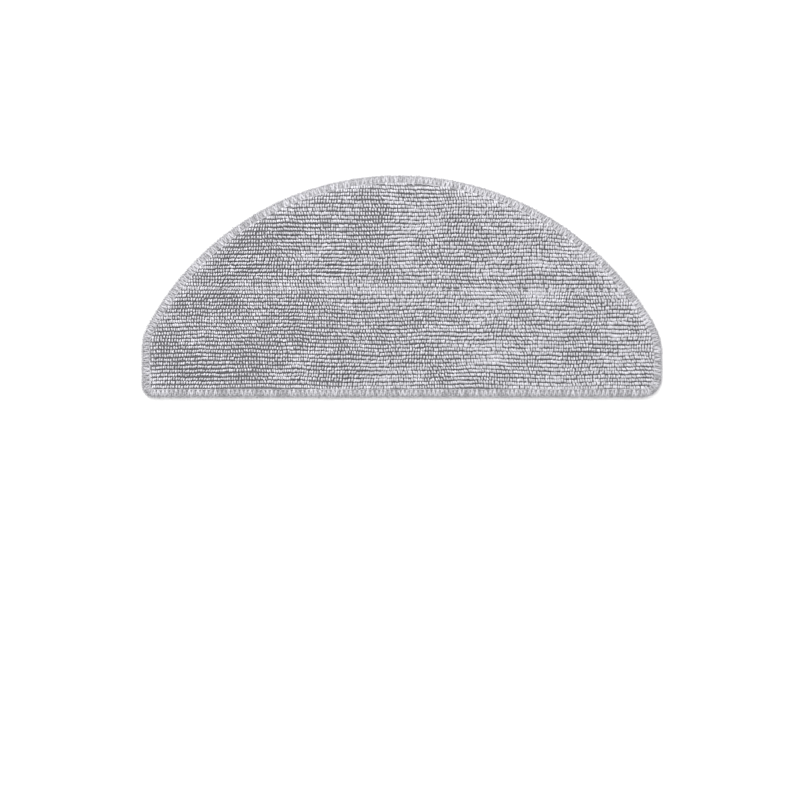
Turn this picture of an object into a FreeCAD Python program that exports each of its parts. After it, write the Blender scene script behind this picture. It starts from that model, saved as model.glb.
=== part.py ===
import FreeCAD, Part
import math
import os
import Sketcher

# Mop pad for a floor robot: a looped cloth sewn to a backing cloth, its edge overlocked all round.
# The pad lies on its back. +X is to the right, +Y towards the arc, +Z out of the mopping face.
# The origin is under the middle of the pad's box, on the plane that the backing lies on.

# Driving dimensions in millimetres: name, value, what it sets
SIZES = (
    ("pad_width", 285.0, "finished width, edge thread included"),
    ("pad_depth", 121.5, "flat edge to the top of the arc"),
    ("apex_shift", -2.4, "top of the arc from the middle, negative to the left"),
    ("side_height_right", 24.0, "top of the straight right side above the flat edge"),
    ("side_height_left", 27.4, "top of the straight left side above the flat edge"),
    ("shoulder_radius_right", 33.0, "bend from the arc into the right side"),
    ("shoulder_radius_left", 23.0, "bend from the arc into the left side"),
    ("corner_radius_right", 10.7, "lower right corner"),
    ("corner_radius_left", 6.6, "lower left corner"),
    ("border_width", 4.8, "overlock seam, from the edge to the first row of loops"),
    ("border_needle_width", 0.8, "line of needle stitches along the border's inner side"),
    ("border_needle_height", 0.7, "how far those stitches stand above the cloth"),
    ("looper_thickness", 0.65, "thread laid over the cloth's raw edge"),
    ("looper_pitch", 2.39, "overlock stitch length"),
    ("backing_thickness", 1.4, "backing cloth"),
    ("ground_thickness", 1.2, "face cloth under its loops"),
    ("pile_height", 2.2, "rows of loops above the ground"),
    ("row_pitch", 2.06, "one row of loops to the next"),
    ("row_width", 1.7, "one row of loops"),
    ("seam_offset", 59.2, "cross seam above the flat edge"),
    ("seam_valley", 3.4, "strip where the seam holds the loops down"),
    ("seam_pitch", 3.8, "cross seam stitch length"),
    ("seam_thread", 0.7, "thickness of the cross seam's threads"),
    ("seam_dip", 0.55, "slope of a stitch towards its hole"),
    ("seam_groove", 0.7, "how deep the cross seam sinks into the backing"),
)


def arc_radius(run, name):
    """Formula of the long arc's radius: it touches the pad's top and, a run away from it, the shoulder."""
    drop = f"(pad_depth - side_height_{name})"
    shoulder = f"shoulder_radius_{name}"
    return f"(({run}) ^ 2 + {drop} ^ 2 - {shoulder} ^ 2) / (2 * ({drop} - {shoulder}))"


# Sizes that follow from the ones above: name, formula, what it is
DERIVED = (
    (
        "arc_radius_right",
        arc_radius("pad_width / 2 - shoulder_radius_right - apex_shift", "right"),
        "long arc, right of its top",
    ),
    (
        "arc_radius_left",
        arc_radius("pad_width / 2 - shoulder_radius_left + apex_shift", "left"),
        "long arc, left of its top",
    ),
)

# Least radius of a corner in an outline that has been moved inwards
LEAST_RADIUS = 0.8
# How far a cutting sketch reaches past what it cuts
REACH = 5.0
# Room between a thread drawn with straight steps and the curve beside it
PLAY = 0.06
# Shape of the looper thread, in thicknesses of it: the groove between two passes, and its turn over the edge
GROOVE_SHARE = 0.45
SHOULDER_SHARE = 1.5
DROP_SHARE = 0.75

DOC = FreeCAD.newDocument("MopPad")
SHEET = DOC.addObject("Spreadsheet::Sheet", "Sizes")


def fill_sheet():
    """Writes one row for each driving dimension and each derived one, and gives its cell an alias."""
    rows = [(name, str(size), note) for name, size, note in SIZES]
    rows += [(name, "=" + formula, note) for name, formula, note in DERIVED]
    for row, (name, content, note) in enumerate(rows, start=1):
        SHEET.set(f"A{row}", name)
        SHEET.set(f"B{row}", content)
        SHEET.set(f"C{row}", note)
        SHEET.setAlias(f"B{row}", name)
    DOC.recompute()


def value(formula):
    """The present number of an expression on the sheet's aliases."""
    found = SHEET.evalExpression(formula)
    return float(getattr(found, "Value", found))


def bound(formula):
    """The same expression as other objects have to write it, with the sheet's name before each alias."""
    for name in sorted((row[0] for row in SIZES + DERIVED), key=len, reverse=True):
        formula = formula.replace(name, "Sizes." + name)
    return formula


# Levels above the plane that the pad lies on
RIM_TOP = "backing_thickness + ground_thickness + looper_thickness"
RIM_MIDDLE = "backing_thickness"
CLOTH_TOP = "backing_thickness + ground_thickness"
PILE_TOP = "backing_thickness + ground_thickness + pile_height"
SEAM_PLACE = "seam_offset - pad_depth / 2"


def inner_radius(name, inset):
    """Formula of an outline's radius once the outline has moved inwards."""
    return f"max({name} - ({inset}); {LEAST_RADIUS})"


def outline_curves(inset):
    """The outline moved inwards by a formula's value: nine lines and arcs, counter-clockwise from the flat edge."""
    move = value(inset)
    half_width = value("pad_width / 2") - move
    flat_edge = move - value("pad_depth / 2")
    apex = value("apex_shift")
    top = value("pad_depth / 2")

    def arc(centre_x, centre_y, radius, start, end):
        circle = Part.Circle(FreeCAD.Vector(centre_x, centre_y, 0), FreeCAD.Vector(0, 0, 1), radius)
        return Part.ArcOfCircle(circle, math.radians(start), math.radians(end))

    def half(side, name):
        """Centres, radii and the angle of one half's arcs, with side 1 for the right and -1 for the left."""
        full = value(f"arc_radius_{name}")
        shoulder = value(inner_radius(f"shoulder_radius_{name}", inset))
        corner = value(inner_radius(f"corner_radius_{name}", inset))
        shoulder_x = side * (half_width - shoulder)
        run = shoulder_x - apex
        rise = math.sqrt((full - move - shoulder) ** 2 - run ** 2)
        shoulder_y = top - full + rise
        return full, shoulder, corner, shoulder_x, shoulder_y, math.degrees(math.atan2(rise, run))

    full_r, shoulder_r, corner_r, x_r, y_r, angle_r = half(1, "right")
    full_l, shoulder_l, corner_l, x_l, y_l, angle_l = half(-1, "left")

    def line(x_0, y_0, x_1, y_1):
        return Part.LineSegment(FreeCAD.Vector(x_0, y_0, 0), FreeCAD.Vector(x_1, y_1, 0))

    return [
        line(corner_l - half_width, flat_edge, half_width - corner_r, flat_edge),
        arc(half_width - corner_r, flat_edge + corner_r, corner_r, 270, 360),
        line(half_width, flat_edge + corner_r, half_width, y_r),
        arc(x_r, y_r, shoulder_r, 0, angle_r),
        arc(apex, top - full_r, full_r - move, angle_r, 90),
        arc(apex, top - full_l, full_l - move, 90, angle_l),
        arc(x_l, y_l, shoulder_l, angle_l, 180),
        line(-half_width, y_l, -half_width, flat_edge + corner_l),
        arc(corner_l - half_width, flat_edge + corner_l, corner_l, 180, 270),
    ]


def new_body(label):
    """An empty body whose label names the sub-part and its file."""
    body = DOC.addObject("PartDesign::Body", label)
    body.Label = label
    return body


def origin_feature(body, role):
    """A plane or axis of a body's own origin."""
    return next(f for f in body.Origin.OriginFeatures if f.Role == role)


def flat_sketch(body, name, plane="XY_Plane", level="0"):
    """A sketch on a plane of the body's origin, lifted along the plane's normal by a formula."""
    sketch = body.newObject("Sketcher::SketchObject", name)
    sketch.AttachmentSupport = [(origin_feature(body, plane), "")]
    sketch.MapMode = "FlatFace"
    sketch.setExpression(".AttachmentOffset.Base.z", bound(level))
    return sketch


def hold(sketch, kind, *places, size):
    """Adds a constraint whose size is a formula."""
    index = sketch.addConstraint(Sketcher.Constraint(kind, *places, value(size)))
    sketch.setExpression(f"Constraints[{index}]", bound(size))


def draw_outline(sketch, inset):
    """Draws the outline, moved inwards, as tangent lines and arcs held by the driving dimensions."""
    first = sketch.GeometryCount
    curves = outline_curves(inset)
    for curve in curves:
        sketch.addGeometry(curve, False)
    for step in range(len(curves)):
        following = first + (step + 1) % len(curves)
        sketch.addConstraint(Sketcher.Constraint("Tangent", first + step, 2, following, 1))
    flat, corner_r, side_r, shoulder_r, arc_r, arc_l, shoulder_l, side_l, corner_l = range(first, first + 9)
    sketch.addConstraint(Sketcher.Constraint("Horizontal", flat))
    sketch.addConstraint(Sketcher.Constraint("Vertical", side_r))
    sketch.addConstraint(Sketcher.Constraint("Vertical", side_l))
    hold(sketch, "DistanceY", flat, 1, -1, 1, size=f"pad_depth / 2 - ({inset})")
    hold(sketch, "DistanceX", -1, 1, side_r, 1, size=f"pad_width / 2 - ({inset})")
    hold(sketch, "DistanceX", side_l, 1, -1, 1, size=f"pad_width / 2 - ({inset})")
    hold(sketch, "DistanceX", arc_r, 3, -1, 1, size="0 - apex_shift")
    hold(sketch, "DistanceX", arc_l, 3, -1, 1, size="0 - apex_shift")
    hold(sketch, "DistanceY", arc_r, 3, -1, 1, size="arc_radius_right - pad_depth / 2")
    hold(sketch, "Radius", arc_r, size=f"arc_radius_right - ({inset})")
    hold(sketch, "Radius", arc_l, size=f"arc_radius_left - ({inset})")
    hold(sketch, "Radius", shoulder_r, size=inner_radius("shoulder_radius_right", inset))
    hold(sketch, "Radius", shoulder_l, size=inner_radius("shoulder_radius_left", inset))
    hold(sketch, "Radius", corner_r, size=inner_radius("corner_radius_right", inset))
    hold(sketch, "Radius", corner_l, size=inner_radius("corner_radius_left", inset))


def draw_polygon(sketch, corners):
    """Draws a closed polygon whose corners are pairs of formulas, each corner held from the sketch's origin."""
    first = sketch.GeometryCount
    points = [FreeCAD.Vector(value(across), value(up), 0) for across, up in corners]
    for step, point in enumerate(points):
        sketch.addGeometry(Part.LineSegment(point, points[(step + 1) % len(points)]), False)
    for step, (across, up) in enumerate(corners):
        following = first + (step + 1) % len(points)
        sketch.addConstraint(Sketcher.Constraint("Coincident", first + step, 2, following, 1))
        for kind, formula in (("DistanceX", across), ("DistanceY", up)):
            if value(formula) < 0:
                hold(sketch, kind, first + step, 1, -1, 1, size=f"0 - ({formula})")
            else:
                hold(sketch, kind, -1, 1, first + step, 1, size=formula)


def extrude(body, kind, sketch, length, midplane=False):
    """A pad or a pocket of a sketch, as long as a formula says. A pocket cuts against its sketch's normal."""
    feature = body.newObject(f"PartDesign::{kind}", sketch.Name + kind)
    feature.Profile = sketch
    feature.Midplane = midplane
    feature.setExpression("Length", bound(length))
    body.Tip = feature
    return feature


def repeat(body, feature, axis, pitch, count, backwards=False):
    """A row of copies of a feature along one of the body's axes."""
    pattern = body.newObject("PartDesign::LinearPattern", feature.Name + "Row")
    pattern.Originals = [feature]
    pattern.Direction = (origin_feature(body, axis), [""])
    pattern.Reversed = backwards
    pattern.Mode = "Spacing"
    pattern.setExpression("Offset", bound(pitch))
    pattern.setExpression("Occurrences", bound(count))
    body.Tip = pattern
    return pattern


def row_outline(centre):
    """Corners of one row of loops, seen from its end: upright sides and a top with broken edges."""
    side = "row_width / 2"
    shoulder = "row_width / 4"
    drop = "row_width / 4"
    return [
        (f"{centre} - {side}", CLOTH_TOP),
        (f"{centre} + {side}", CLOTH_TOP),
        (f"{centre} + {side}", f"{PILE_TOP} - {drop}"),
        (f"{centre} + {side} - {shoulder}", PILE_TOP),
        (f"{centre} - {side} + {shoulder}", PILE_TOP),
        (f"{centre} - {side}", f"{PILE_TOP} - {drop}"),
    ]


def seam_end(side, name):
    """Formula of where the cross seam meets the border's inner side, left or right."""
    radius = f"(arc_radius_{name} - border_width)"
    drop = f"(seam_offset - pad_depth + arc_radius_{name})"
    return f"(apex_shift {side} sqrt({radius} * {radius} - {drop} * {drop}))"


SEAM_LEFT = seam_end("-", "left")
SEAM_RIGHT = seam_end("+", "right")
SEAM_STITCHES = f"floor(({SEAM_RIGHT} - {SEAM_LEFT} - seam_thread) / seam_pitch)"
SEAM_START = f"(({SEAM_RIGHT} + {SEAM_LEFT} - {SEAM_STITCHES} * seam_pitch) / 2)"


def cut_seam_holes(body, top, depth):
    """A row of holes through a cloth, one for each place where the cross seam's threads pass it."""
    sketch = flat_sketch(body, body.Label + "_holes", level=f"{top} + {REACH}")
    half = "seam_thread / 2"
    draw_polygon(sketch, [
        (f"{SEAM_START} - {half}", f"{SEAM_PLACE} - {half}"),
        (f"{SEAM_START} + {half}", f"{SEAM_PLACE} - {half}"),
        (f"{SEAM_START} + {half}", f"{SEAM_PLACE} + {half}"),
        (f"{SEAM_START} - {half}", f"{SEAM_PLACE} + {half}"),
    ])
    hole = extrude(body, "Pocket", sketch, f"{depth} + {REACH}")
    repeat(body, hole, "X_Axis", "seam_pitch", f"{SEAM_STITCHES} + 1")


def make_face_cloth():
    """The mopping cloth: a ground with rows of loops on it, broken where the cross seam holds them down."""
    body = new_body("face_cloth")
    ground = flat_sketch(body, "ground", level="backing_thickness")
    draw_outline(ground, "looper_thickness")
    extrude(body, "Pad", ground, "ground_thickness")
    cut_seam_holes(body, CLOTH_TOP, "ground_thickness")

    first_below = f"({SEAM_PLACE} - seam_valley / 2 - row_width / 2)"
    rows_below = "round((seam_offset - seam_valley / 2 - border_width) / row_pitch)"
    first_above = f"({SEAM_PLACE} + seam_valley / 2 + row_width / 2)"
    rows_above = "round((pad_depth - seam_offset - seam_valley / 2 - border_width) / row_pitch)"
    for name, first, count, backwards in (
        ("rows_below", first_below, rows_below, True),
        ("rows_above", first_above, rows_above, False),
    ):
        sketch = flat_sketch(body, name, "YZ_Plane")
        draw_polygon(sketch, row_outline(first))
        row = extrude(body, "Pad", sketch, "pad_width", midplane=True)
        repeat(body, row, "Y_Axis", "row_pitch", count, backwards)

    trim = flat_sketch(body, "trim", level=f"{PILE_TOP} + {REACH}")
    draw_outline(trim, "border_width")
    across, up = f"(pad_width / 2 + {REACH})", f"(pad_depth / 2 + {REACH})"
    draw_polygon(trim, [
        (f"0 - {across}", f"0 - {up}"),
        (across, f"0 - {up}"),
        (across, up),
        (f"0 - {across}", up),
    ])
    extrude(body, "Pocket", trim, f"pile_height + {REACH}")
    return body


def make_backing_cloth():
    """The cloth that grips the holder's hook strips: thick in the middle and thinner under the edge thread."""
    body = new_body("backing_cloth")
    edge = flat_sketch(body, "edge", level="looper_thickness")
    draw_outline(edge, "looper_thickness")
    extrude(body, "Pad", edge, "backing_thickness - looper_thickness")
    middle = flat_sketch(body, "middle")
    draw_outline(middle, "border_width")
    extrude(body, "Pad", middle, "looper_thickness")
    groove = flat_sketch(body, "groove", level="seam_groove")
    draw_polygon(groove, [
        (SEAM_LEFT, f"{SEAM_PLACE} - seam_thread"),
        (SEAM_RIGHT, f"{SEAM_PLACE} - seam_thread"),
        (SEAM_RIGHT, f"{SEAM_PLACE} + seam_thread"),
        (SEAM_LEFT, f"{SEAM_PLACE} + seam_thread"),
    ])
    extrude(body, "Pocket", groove, f"seam_groove + {REACH}")
    cut_seam_holes(body, "backing_thickness", "backing_thickness")
    return body


def make_seam_needle_thread():
    """The cross seam's upper thread: stitches that lie on the face cloth and go down to the back at each end."""
    body = new_body("seam_needle_thread")
    half = "seam_thread / 2"
    end = f"({SEAM_START} + seam_pitch)"
    crest = f"{CLOTH_TOP} + seam_thread"
    sketch = flat_sketch(body, "seam_stitch", "XZ_Plane", level=f"0 - ({SEAM_PLACE})")
    draw_polygon(sketch, [
        (f"{SEAM_START} - {half}", "seam_groove"),
        (f"{SEAM_START} + {half}", "seam_groove"),
        (f"{SEAM_START} + {half}", CLOTH_TOP),
        (f"{end} - {half}", CLOTH_TOP),
        (f"{end} - {half}", "seam_groove"),
        (f"{end} + {half}", "seam_groove"),
        (f"{end} + {half}", CLOTH_TOP),
        (f"{end} + {half} - seam_dip", crest),
        (f"{SEAM_START} - {half} + seam_dip", crest),
        (f"{SEAM_START} - {half}", CLOTH_TOP),
    ])
    stitch = extrude(body, "Pad", sketch, "seam_thread", midplane=True)
    repeat(body, stitch, "X_Axis", "seam_pitch", SEAM_STITCHES)
    return body


def make_seam_bobbin_thread():
    """The cross seam's lower thread: it lies pulled straight in the back's groove, under the upper thread's ends."""
    body = new_body("seam_bobbin_thread")
    half = "seam_thread / 2"
    bevel = "seam_thread / 4"
    sketch = flat_sketch(body, "bobbin", "YZ_Plane", level=SEAM_START)
    draw_polygon(sketch, [
        (f"{SEAM_PLACE} - {half} + {bevel}", "0"),
        (f"{SEAM_PLACE} + {half} - {bevel}", "0"),
        (f"{SEAM_PLACE} + {half}", bevel),
        (f"{SEAM_PLACE} + {half}", "seam_groove"),
        (f"{SEAM_PLACE} - {half}", "seam_groove"),
        (f"{SEAM_PLACE} - {half}", bevel),
    ])
    extrude(body, "Pad", sketch, f"{SEAM_STITCHES} * seam_pitch")
    return body


def bevel_edges(body, level, size, around=None):
    """Bevels the edges of the body's last feature that lie on a level, or only those that close up to one length."""
    DOC.recompute()
    base = body.Tip
    place = value(level)
    flat = {
        f"Edge{number}": edge
        for number, edge in enumerate(base.Shape.Edges, start=1)
        if abs(edge.BoundBox.ZMin - place) < 0.001 and abs(edge.BoundBox.ZMax - place) < 0.001
    }
    loops = Part.sortEdges(list(flat.values()))
    if around is not None:
        loops = [loop for loop in loops if abs(sum(edge.Length for edge in loop) - around) < 0.5]
    wanted = [edge for loop in loops for edge in loop]
    feature = body.newObject("PartDesign::Chamfer", body.Label + "_bevel")
    feature.Base = (base, [name for name, edge in flat.items() if any(edge.isSame(other) for other in wanted)])
    feature.setExpression("Size", bound(size))
    body.Tip = feature


def make_border_needle_thread():
    """The line of needle stitches between the loops and the looper thread, as one low bead."""
    body = new_body("border_needle_thread")
    sketch = flat_sketch(body, "bead", level=CLOTH_TOP)
    draw_outline(sketch, "border_width - border_needle_width")
    draw_outline(sketch, "border_width")
    extrude(body, "Pad", sketch, "border_needle_height")
    bevel_edges(body, f"{CLOTH_TOP} + border_needle_height", "border_needle_width * 0.3")
    return body


def make_lower_looper_thread():
    """The thread on the back of the raw edge, a plain ring in which the cloths' edge lies."""
    body = new_body("lower_looper_thread")
    ring = flat_sketch(body, "lower_ring")
    draw_outline(ring, "0")
    draw_outline(ring, "border_width")
    extrude(body, "Pad", ring, RIM_MIDDLE)
    seat = flat_sketch(body, "lower_seat", level=f"{RIM_MIDDLE} + {REACH}")
    draw_outline(seat, "looper_thickness")
    extrude(body, "Pocket", seat, f"{RIM_MIDDLE} - looper_thickness + {REACH}")
    around = sum(curve.length() for curve in outline_curves("0"))
    bevel_edges(body, "0", "looper_thickness * 1.4", around)
    return body


def stations(count):
    """Evenly spaced places round the pad: each one's point on its outline and the way out of the pad there."""
    edges = [curve.toShape() for curve in outline_curves("0")]
    total = sum(edge.Length for edge in edges)
    found = []
    for step in range(count):
        along = total * step / count
        index = 0
        while along > edges[index].Length:
            along -= edges[index].Length
            index += 1
        edge = edges[index]
        parameter = edge.getParameterByLength(along)
        tangent = edge.tangentAt(parameter).normalize()
        outwards = FreeCAD.Vector(tangent.y, -tangent.x, 0)
        found.append((edge.valueAt(parameter), outwards))
    return found


def make_upper_looper_thread():
    """The thread over the mopping side of the raw edge: a ring whose skin has a ridge for each pass of thread."""
    feature = DOC.addObject("Part::Feature", "upper_looper_thread")
    feature.Label = "upper_looper_thread"
    cloth = value(CLOTH_TOP)
    middle = value(RIM_MIDDLE)
    inner = value("border_width - border_needle_width") - PLAY
    thickness = value("looper_thickness")
    passes = round(sum(curve.length() for curve in outline_curves("0")) / value("looper_pitch"))
    places = stations(2 * passes)
    sunk = [GROOVE_SHARE * thickness * (step % 2) for step in range(2 * passes)]

    def point(step, inset, level):
        spot, outwards = places[step]
        return spot - outwards * inset + FreeCAD.Vector(0, 0, level)

    foot = [point(step, inner, cloth) for step in range(0, 2 * passes, 2)]
    shoulder = [
        point(step, SHOULDER_SHARE * thickness, cloth + thickness - depth) for step, depth in enumerate(sunk)
    ]
    turn = [point(step, depth, cloth + (1 - DROP_SHARE) * thickness - depth) for step, depth in enumerate(sunk)]
    rim = [point(step, 0, middle) for step in range(0, 2 * passes, 2)]

    triangles = []
    for step in range(passes):
        ridge = 2 * step
        groove = ridge + 1
        following = (ridge + 2) % (2 * passes)
        after = (step + 1) % passes
        triangles += [
            (foot[step], shoulder[ridge], shoulder[groove]),
            (foot[step], shoulder[groove], foot[after]),
            (foot[after], shoulder[groove], shoulder[following]),
            (shoulder[ridge], turn[ridge], turn[groove]),
            (shoulder[ridge], turn[groove], shoulder[groove]),
            (shoulder[groove], turn[groove], turn[following]),
            (shoulder[groove], turn[following], shoulder[following]),
            (rim[step], turn[groove], turn[ridge]),
            (rim[step], rim[after], turn[groove]),
            (rim[after], turn[following], turn[groove]),
        ]
    faces = [Part.Face(Part.makePolygon([*corners, corners[0]])) for corners in triangles]

    def smooth(level):
        wire = Part.Wire([curve.toShape() for curve in outline_curves("looper_thickness")])
        wire.translate(FreeCAD.Vector(0, 0, level))
        return wire

    def ring(outside, inside):
        return Part.makeFace([outside, inside], "Part::FaceMakerBullseye").Faces[0]

    faces.append(ring(smooth(cloth), Part.makePolygon([*foot, foot[0]])))
    faces.append(ring(Part.makePolygon([*rim, rim[0]]), smooth(middle)))
    faces.extend(smooth(middle).extrude(FreeCAD.Vector(0, 0, cloth - middle)).Faces)
    shell = Part.makeShell(faces)
    shell.sewShape()
    solid = Part.makeSolid(Part.Shell(shell.Faces))
    if solid.Volume < 0:
        solid.reverse()
    feature.Shape = solid
    return feature


def check(parts):
    """Stops the build if an object failed or a sub-part isn't one valid solid."""
    for item in DOC.Objects:
        if {"Invalid", "Error"} & set(item.State):
            raise RuntimeError(f"{item.Name} failed: {item.State}")
    for part in parts:
        if part.Shape.isNull() or not part.Shape.isValid() or not part.Shape.Solids:
            raise RuntimeError(f"{part.Label} has no valid shape")


def write(parts):
    """Writes each sub-part to its own file."""
    os.makedirs("parts", exist_ok=True)
    for part in parts:
        part.Shape.exportStep(os.path.join("parts", part.Label + ".step"))


def main():
    fill_sheet()
    parts = [
        make_face_cloth(),
        make_backing_cloth(),
        make_seam_needle_thread(),
        make_seam_bobbin_thread(),
        make_border_needle_thread(),
        make_upper_looper_thread(),
        make_lower_looper_thread(),
    ]
    DOC.recompute()
    check(parts)
    write(parts)


main()
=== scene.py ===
import math

import bpy
import numpy as np
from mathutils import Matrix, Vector
from mathutils.geometry import delaunay_2d_cdt


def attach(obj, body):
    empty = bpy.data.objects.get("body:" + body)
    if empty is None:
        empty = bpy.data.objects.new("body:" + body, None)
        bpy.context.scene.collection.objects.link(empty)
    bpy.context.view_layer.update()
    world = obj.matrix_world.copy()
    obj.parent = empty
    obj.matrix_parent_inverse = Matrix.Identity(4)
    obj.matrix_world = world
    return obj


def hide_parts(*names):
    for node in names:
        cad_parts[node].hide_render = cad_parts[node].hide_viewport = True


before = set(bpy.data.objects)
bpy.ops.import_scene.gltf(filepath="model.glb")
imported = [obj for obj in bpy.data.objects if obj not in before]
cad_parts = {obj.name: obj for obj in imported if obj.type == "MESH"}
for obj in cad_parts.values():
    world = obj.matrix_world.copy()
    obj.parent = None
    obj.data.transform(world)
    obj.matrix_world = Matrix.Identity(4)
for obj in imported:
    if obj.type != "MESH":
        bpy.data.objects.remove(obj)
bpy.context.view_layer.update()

MM = 0.001

# The pad's outline
PAD_WIDTH = 285.0 * MM
PAD_DEPTH = 121.5 * MM
APEX_SHIFT = -2.4 * MM
SIDE_HEIGHT = {"right": 24.0 * MM, "left": 27.4 * MM}
SHOULDER_RADIUS = {"right": 33.0 * MM, "left": 23.0 * MM}
CORNER_RADIUS = {"right": 10.7 * MM, "left": 6.6 * MM}
BORDER_WIDTH = 4.8 * MM
THREAD_COVER = 0.65 * MM

# Levels above the plane that the pad lies on
BACKING_TOP = 1.4 * MM
GROUND_TOP = 2.6 * MM
RIM_TOP = 3.25 * MM
PILE_HEIGHT = 2.2 * MM

# Rows of loops and stitches
ROW_PITCH = 2.06 * MM
LOOP_PITCH = 1.34 * MM
LOOP_YARN = 1.02 * MM
OVERLOCK_PITCH = 2.39 * MM
OVERLOCK_YARN = 1.1 * MM
SEAM_PLACE = 59.2 * MM - PAD_DEPTH / 2
SEAM_FROM = -118.44 * MM
SEAM_STITCHES = 62
SEAM_PITCH = 3.8 * MM
SEAM_SLOPE = -0.0055
SEAM_YARN = 0.7 * MM
STITCH_STEPS = 10
LOOPER_STEPS = 14

# Where the loops are pressed down, measured from the cross seam and from the border
SEAM_PRESS = (0.8 * MM, 2.4 * MM)
RIM_PRESS = (-0.6 * MM, 3.4 * MM)

# The opening between the loops at a stitch hole: half its length along the seam and half its width
OPENING = (0.78 * MM, 1.1 * MM)

# Knit of the cloths: the width of a column and the height of a course
GROUND_KNIT = (0.67 * MM, 1.03 * MM)
BACKING_KNIT = (1.2 * MM, 0.9 * MM)

# Picture and studio
PICTURE_PIXELS = 800
PIXEL = 0.5486 * MM
PICTURE_CENTRE = (-2.0 * PIXEL, -113.5 * PIXEL)
FLOOR_REACH = 4.0
WHITE = (1.0, 1.0, 1.0, 1.0)


class Graph:
    """A node tree that is written as Python expressions."""

    def __init__(self, tree):
        self.tree = tree

    def add(self, kind, settings=None, sockets=None, out=0):
        """Adds a node, with its settings and the values or links of its sockets. Returns one of its outputs."""
        node = self.tree.nodes.new(kind)
        for name, value in (settings or {}).items():
            if name == "points":
                self._set_points(node, value)
            else:
                setattr(node, name, value)
        for name, value in (sockets or {}).items():
            socket = self._find(node.inputs, name)
            if isinstance(value, Value):
                self.tree.links.new(value.socket, socket)
            else:
                socket.default_value = value
        return Value(self, self._find(node.outputs, out)) if len(node.outputs) else None

    @staticmethod
    def _find(sockets, name):
        if isinstance(name, int):
            return sockets[name]
        return next(s for s in sockets if s.name == name and s.enabled)

    @staticmethod
    def _set_points(node, points):
        curve = node.mapping.curves[0]
        for place in points[1:-1]:
            curve.points.new(*place)
        for point, place in zip((curve.points[0], curve.points[-1]), (points[0], points[-1])):
            point.location = place
        node.mapping.update()

    def math(self, operation, *values):
        return self.add("ShaderNodeMath", {"operation": operation}, dict(enumerate(values)))

    def vector(self, x, y, z):
        """A vector of three numbers."""
        return self.add("ShaderNodeCombineXYZ", None, {0: x, 1: y, 2: z})

    def split(self, vector):
        """The three numbers of a vector."""
        node = self.add("ShaderNodeSeparateXYZ", None, {0: vector}).socket.node
        return [Value(self, socket) for socket in node.outputs]

    def step(self, value, low, high):
        """Rises smoothly from 0 at low to 1 at high."""
        return self.add(
            "ShaderNodeMapRange",
            {"interpolation_type": "SMOOTHSTEP"},
            {"Value": value, "From Min": low, "From Max": high, "To Min": 0.0, "To Max": 1.0},
            "Result",
        )

    def spread(self, low, high, seed, ident=None):
        """A random number from low to high for each element."""
        sockets = {"Min": low, "Max": high, "Seed": seed}
        if ident is not None:
            sockets["ID"] = ident
        return self.add("FunctionNodeRandomValue", {"data_type": "FLOAT"}, sockets, "Value")

    def jitter(self, amount, seed, ident=None):
        """A random number on either side of 0 for each element."""
        return self.spread(-amount, amount, seed, ident)

    def noise(self, place, scale=1.0, detail=2.0, rough=0.5, flat=False):
        """Soft noise around 0.5, in space or in a plane."""
        return self.add("ShaderNodeTexNoise", {"noise_dimensions": "2D" if flat else "3D"}, {
            "Vector": place,
            "Scale": scale,
            "Detail": detail,
            "Roughness": rough,
        })

    def stored(self, name):
        """A number that a mesh carries under a name, read in a geometry tree."""
        return self.add("GeometryNodeInputNamedAttribute", {"data_type": "FLOAT"}, {"Name": name})


class Value:
    """One output of a node. Arithmetic on it adds Math nodes."""

    def __init__(self, graph, socket):
        self.graph = graph
        self.socket = socket

    def out(self, name):
        """Another output of the same node."""
        return Value(self.graph, Graph._find(self.socket.node.outputs, name))

    def __add__(self, other):
        return self.graph.math("ADD", self, other)

    def __radd__(self, other):
        return self.graph.math("ADD", other, self)

    def __sub__(self, other):
        return self.graph.math("SUBTRACT", self, other)

    def __rsub__(self, other):
        return self.graph.math("SUBTRACT", other, self)

    def __mul__(self, other):
        return self.graph.math("MULTIPLY", self, other)

    def __truediv__(self, other):
        return self.graph.math("DIVIDE", self, other)

    def __pow__(self, other):
        return self.graph.math("POWER", self, other)


# Outline


def outline_half(side, name):
    """Arc centres, radii and meeting angle of one half of the outline."""
    shoulder = SHOULDER_RADIUS[name]
    centre_x = side * (PAD_WIDTH / 2 - shoulder)
    run = centre_x - APEX_SHIFT
    drop = PAD_DEPTH - SIDE_HEIGHT[name]
    full = (run ** 2 + drop ** 2 - shoulder ** 2) / (2 * (drop - shoulder))
    centre_y = SIDE_HEIGHT[name] - PAD_DEPTH / 2
    angle = math.atan2(centre_y - PAD_DEPTH / 2 + full, run)
    return {
        "full": full,
        "shoulder": shoulder,
        "corner": CORNER_RADIUS[name],
        "x": centre_x,
        "y": centre_y,
        "angle": angle,
    }


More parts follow.
